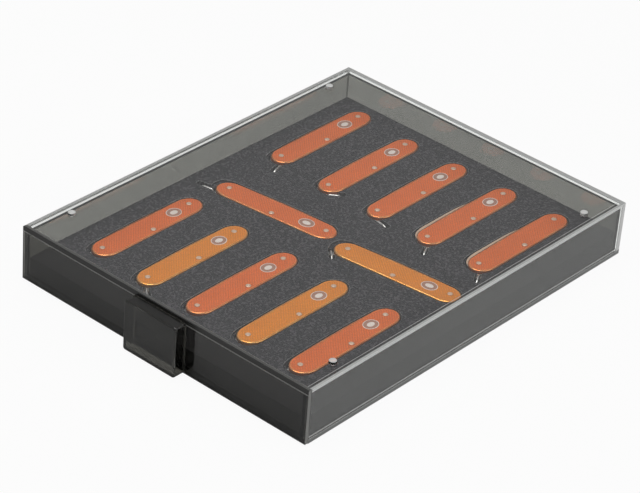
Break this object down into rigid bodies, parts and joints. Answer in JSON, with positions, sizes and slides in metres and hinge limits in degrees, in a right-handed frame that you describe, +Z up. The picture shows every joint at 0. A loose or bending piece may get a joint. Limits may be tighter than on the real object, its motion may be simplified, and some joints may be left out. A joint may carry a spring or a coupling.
{
  "type": "knife display case",
  "caption": "Stackable clear display case with a smoked pull-out drawer, showing closed folding pocket knives in the fitted pockets of a dark insert.",
  "frame": {"origin": "middle of the outer case footprint, on the flat underside that it rests on", "axes": "+Z up; -Y is the front, the way the drawer pulls out; +X to the right when facing the front; the drawer slides along Y"},
  "size_m": [0.236, 0.312, 0.0403],
  "materials": {
    "clear_plastic": "clear moulded polystyrene, polished",
    "smoked_plastic": "smoke-grey translucent moulded polystyrene, polished",
    "insert_foam": "matt charcoal foam board with a flocked face",
    "backing_card": "matt dark card",
    "steel": "fine-ground stainless steel",
    "red_orange_aluminium": "satin red-orange anodised, finely embossed",
    "gold_orange_aluminium": "satin golden-orange anodised, finely embossed"
  },
  "bodies": {
    "case": {"case_cover": "clear_plastic", "case_base": "clear_plastic"},
    "drawer": {"drawer_tray": "smoked_plastic", "drawer_pull": "smoked_plastic", "insert_board": "insert_foam", "insert_backing": "backing_card"},
    "rear_knife_1": {"rear_knife_1_top_scale": "red_orange_aluminium", "rear_knife_1_bottom_scale": "red_orange_aluminium", "rear_knife_1_blade_pack": "steel"},
    "rear_knife_1_bail": {"rear_knife_1_bail": "steel"},
    "rear_knife_2": {"rear_knife_2_top_scale": "red_orange_aluminium", "rear_knife_2_bottom_scale": "red_orange_aluminium", "rear_knife_2_blade_pack": "steel"},
    "rear_knife_2_bail": {"rear_knife_2_bail": "steel"},
    "rear_knife_3": {"rear_knife_3_top_scale": "red_orange_aluminium", "rear_knife_3_bottom_scale": "red_orange_aluminium", "rear_knife_3_blade_pack": "steel"},
    "rear_knife_3_bail": {"rear_knife_3_bail": "steel"},
    "rear_knife_4": {"rear_knife_4_top_scale": "red_orange_aluminium", "rear_knife_4_bottom_scale": "red_orange_aluminium", "rear_knife_4_blade_pack": "steel"},
    "rear_knife_4_bail": {"rear_knife_4_bail": "steel"},
    "rear_knife_5": {"rear_knife_5_top_scale": "red_orange_aluminium", "rear_knife_5_bottom_scale": "red_orange_aluminium", "rear_knife_5_blade_pack": "steel"},
    "rear_knife_5_bail": {"rear_knife_5_bail": "steel"},
    "cross_knife_1": {"cross_knife_1_top_scale": "red_orange_aluminium", "cross_knife_1_bottom_scale": "red_orange_aluminium", "cross_knife_1_blade_pack": "steel"},
    "cross_knife_1_bail": {"cross_knife_1_bail": "steel"},
    "cross_knife_2": {"cross_knife_2_top_scale": "gold_orange_aluminium", "cross_knife_2_bottom_scale": "gold_orange_aluminium", "cross_knife_2_blade_pack": "steel"},
    "cross_knife_2_bail": {"cross_knife_2_bail": "steel"},
    "front_knife_1": {"front_knife_1_top_scale": "red_orange_aluminium", "front_knife_1_bottom_scale": "red_orange_aluminium", "front_knife_1_blade_pack": "steel"},
    "front_knife_2": {"front_knife_2_top_scale": "gold_orange_aluminium", "front_knife_2_bottom_scale": "gold_orange_aluminium", "front_knife_2_blade_pack": "steel"},
    "front_knife_2_bail": {"front_knife_2_bail": "steel"},
    "front_knife_3": {"front_knife_3_top_scale": "red_orange_aluminium", "front_knife_3_bottom_scale": "red_orange_aluminium", "front_knife_3_blade_pack": "steel"},
    "front_knife_4": {"front_knife_4_top_scale": "gold_orange_aluminium", "front_knife_4_bottom_scale": "gold_orange_aluminium", "front_knife_4_blade_pack": "steel"},
    "front_knife_5": {"front_knife_5_top_scale": "red_orange_aluminium", "front_knife_5_bottom_scale": "red_orange_aluminium", "front_knife_5_blade_pack": "steel"}
  },
  "joints": [
    {"name": "drawer_slide", "type": "slide", "parent": "case", "child": "drawer", "axis": [0, -1, 0], "range_m": [0, 0.3]},
    {"name": "rear_knife_1_lift", "type": "slide", "parent": "drawer", "child": "rear_knife_1", "axis": [0, 0, 1], "range_m": [0, 0.0175]},
    {"name": "rear_knife_1_bail_swing", "type": "hinge", "parent": "rear_knife_1", "child": "rear_knife_1_bail", "pos_m": [-0.0834, 0.0462, 0.012], "axis": [0, 0, 1], "range_deg": [-6, 6]},
    {"name": "rear_knife_2_lift", "type": "slide", "parent": "drawer", "child": "rear_knife_2", "axis": [0, 0, 1], "range_m": [0, 0.0175]},
    {"name": "rear_knife_2_bail_swing", "type": "hinge", "parent": "rear_knife_2", "child": "rear_knife_2_bail", "pos_m": [-0.038, 0.0421, 0.012], "axis": [0, 0, 1], "range_deg": [-6, 6]},
    {"name": "rear_knife_3_lift", "type": "slide", "parent": "drawer", "child": "rear_knife_3", "axis": [0, 0, 1], "range_m": [0, 0.0175]},
    {"name": "rear_knife_3_bail_swing", "type": "hinge", "parent": "rear_knife_3", "child": "rear_knife_3_bail", "pos_m": [0.004, 0.0421, 0.012], "axis": [0, 0, 1], "range_deg": [-6, 6]},
    {"name": "rear_knife_4_lift", "type": "slide", "parent": "drawer", "child": "rear_knife_4", "axis": [0, 0, 1], "range_m": [0, 0.0175]},
    {"name": "rear_knife_4_bail_swing", "type": "hinge", "parent": "rear_knife_4", "child": "rear_knife_4_bail", "pos_m": [0.046, 0.0421, 0.012], "axis": [0, 0, 1], "range_deg": [-6, 6]},
    {"name": "rear_knife_5_lift", "type": "slide", "parent": "drawer", "child": "rear_knife_5", "axis": [0, 0, 1], "range_m": [0, 0.0175]},
    {"name": "rear_knife_5_bail_swing", "type": "hinge", "parent": "rear_knife_5", "child": "rear_knife_5_bail", "pos_m": [0.088, 0.0421, 0.012], "axis": [0, 0, 1], "range_deg": [-6, 6]},
    {"name": "cross_knife_1_lift", "type": "slide", "parent": "drawer", "child": "cross_knife_1", "axis": [0, 0, 1], "range_m": [0, 0.0175]},
    {"name": "cross_knife_1_bail_swing", "type": "hinge", "parent": "cross_knife_1", "child": "cross_knife_1_bail", "pos_m": [-0.09256, -0.00847, 0.012], "axis": [0, 0, 1], "range_deg": [-6, 6]},
    {"name": "cross_knife_2_lift", "type": "slide", "parent": "drawer", "child": "cross_knife_2", "axis": [0, 0, 1], "range_m": [0, 0.0175]},
    {"name": "cross_knife_2_bail_swing", "type": "hinge", "parent": "cross_knife_2", "child": "cross_knife_2_bail", "pos_m": [0.00724, -0.00597, 0.012], "axis": [0, 0, 1], "range_deg": [-6, 6]},
    {"name": "front_knife_1_lift", "type": "slide", "parent": "drawer", "child": "front_knife_1", "axis": [0, 0, 1], "range_m": [0, 0.0175]},
    {"name": "front_knife_2_lift", "type": "slide", "parent": "drawer", "child": "front_knife_2", "axis": [0, 0, 1], "range_m": [0, 0.0175]},
    {"name": "front_knife_2_bail_swing", "type": "hinge", "parent": "front_knife_2", "child": "front_knife_2_bail", "pos_m": [-0.0404, -0.1219, 0.012], "axis": [0, 0, 1], "range_deg": [-6, 6]},
    {"name": "front_knife_3_lift", "type": "slide", "parent": "drawer", "child": "front_knife_3", "axis": [0, 0, 1], "range_m": [0, 0.0175]},
    {"name": "front_knife_4_lift", "type": "slide", "parent": "drawer", "child": "front_knife_4", "axis": [0, 0, 1], "range_m": [0, 0.0175]},
    {"name": "front_knife_5_lift", "type": "slide", "parent": "drawer", "child": "front_knife_5", "axis": [0, 0, 1], "range_m": [0, 0.0175]}
  ]
}
